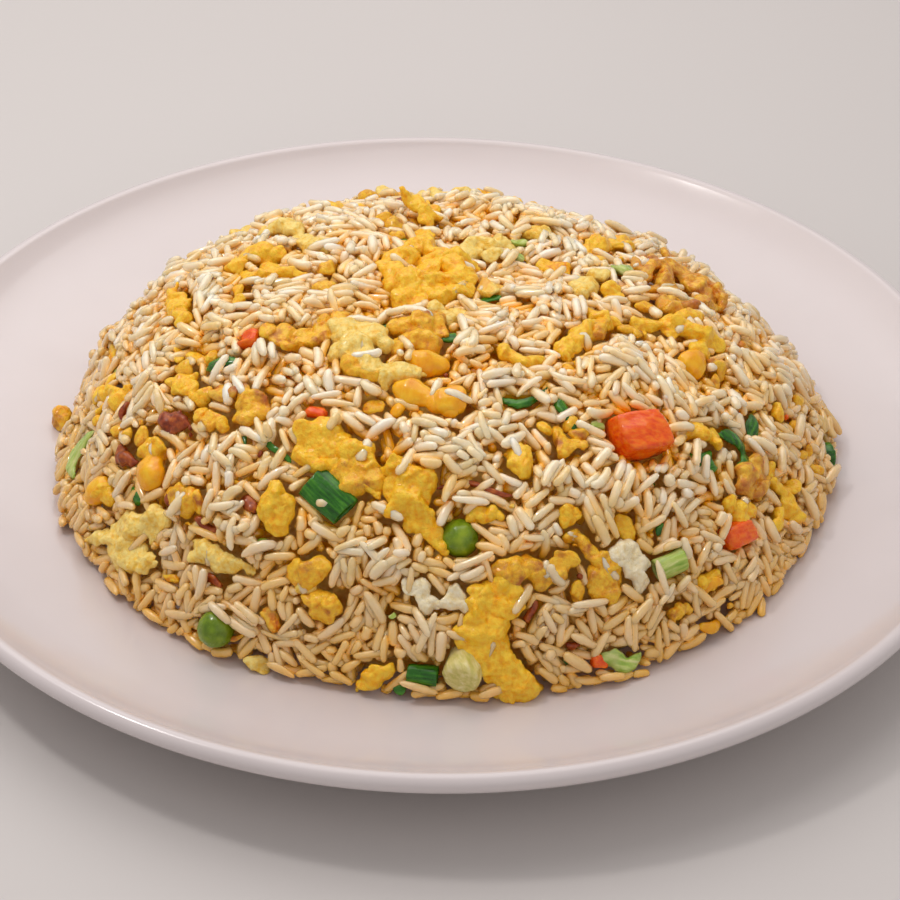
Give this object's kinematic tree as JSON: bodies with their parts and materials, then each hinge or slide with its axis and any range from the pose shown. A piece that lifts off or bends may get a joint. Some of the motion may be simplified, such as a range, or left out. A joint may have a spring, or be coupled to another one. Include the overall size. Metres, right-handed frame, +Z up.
{
  "type": "fried rice plate",
  "caption": "Round white plate with a heap of egg fried rice, with pieces of egg, corn, carrot, pea, scallion and sausage.",
  "frame": {"origin": "centre of the plate's foot ring, on the surface it stands on", "axes": "+Z up, +X to the right and -Y to the front of the dish"},
  "size_m": [0.2606, 0.2606, 0.0608],
  "materials": {
    "glaze": "satin white ceramic glaze",
    "rice": "cooked rice with a film of oil",
    "egg": "scrambled egg",
    "fried_egg": "egg with browned edges",
    "corn": "wet corn kernel",
    "carrot": "cooked carrot",
    "pea": "cooked pea",
    "scallion": "cut scallion leaf",
    "scallion_white": "cut white end of a scallion",
    "sausage": "dark red fried sausage"
  },
  "bodies": {
    "root": {"plate": "glaze", "rice_heap": "rice", "corn_top": "corn", "corn_mid_left": "corn", "corn_mid_right": "corn", "corn_right": "corn", "corn_left": "corn", "corn_left_low": "corn", "corn_rear": "corn", "carrot_dice": "carrot", "carrot_right": "carrot", "carrot_rear": "carrot", "pea_front": "pea", "pea_mid": "pea", "pea_rear": "pea", "scallion_cut": "scallion", "scallion_front": "scallion", "scallion_right": "scallion", "scallion_end": "scallion_white", "scallion_edge": "scallion", "egg_front_hook": "egg", "egg_centre_tail": "egg", "egg_three_lobes": "egg", "egg_left_lump": "egg", "egg_golden_lump": "egg", "egg_band_left": "fried_egg", "egg_curd": "egg", "egg_behind_corn": "fried_egg", "egg_swirl": "egg", "egg_top_flake": "egg", "egg_back_crumble": "egg", "egg_back_pair": "egg", "egg_crisp_back": "fried_egg", "egg_right_big": "egg", "egg_right_long": "egg", "egg_back_left": "egg", "egg_left_ring": "egg", "egg_left_spike": "egg", "egg_left_fluff": "egg", "egg_left_yellow": "egg", "egg_wrinkled": "egg", "egg_orange_left": "egg", "egg_front_small": "egg", "egg_right_strip": "fried_egg", "egg_yellow_block": "egg", "egg_mid_gold": "fried_egg", "egg_browned": "fried_egg", "egg_strands": "egg", "egg_rear_fold": "egg", "egg_rear_strip": "fried_egg", "scallion_right_upper": "scallion", "scallion_right_fold": "scallion", "scallion_mid_curl": "scallion", "scallion_mid_leaf": "scallion", "scallion_left_curl": "scallion", "scallion_left_light": "scallion", "scallion_slices": "scallion", "scallion_rear": "scallion", "sausage_left": "sausage", "sausage_curve": "sausage"}
  },
  "joints": []
}
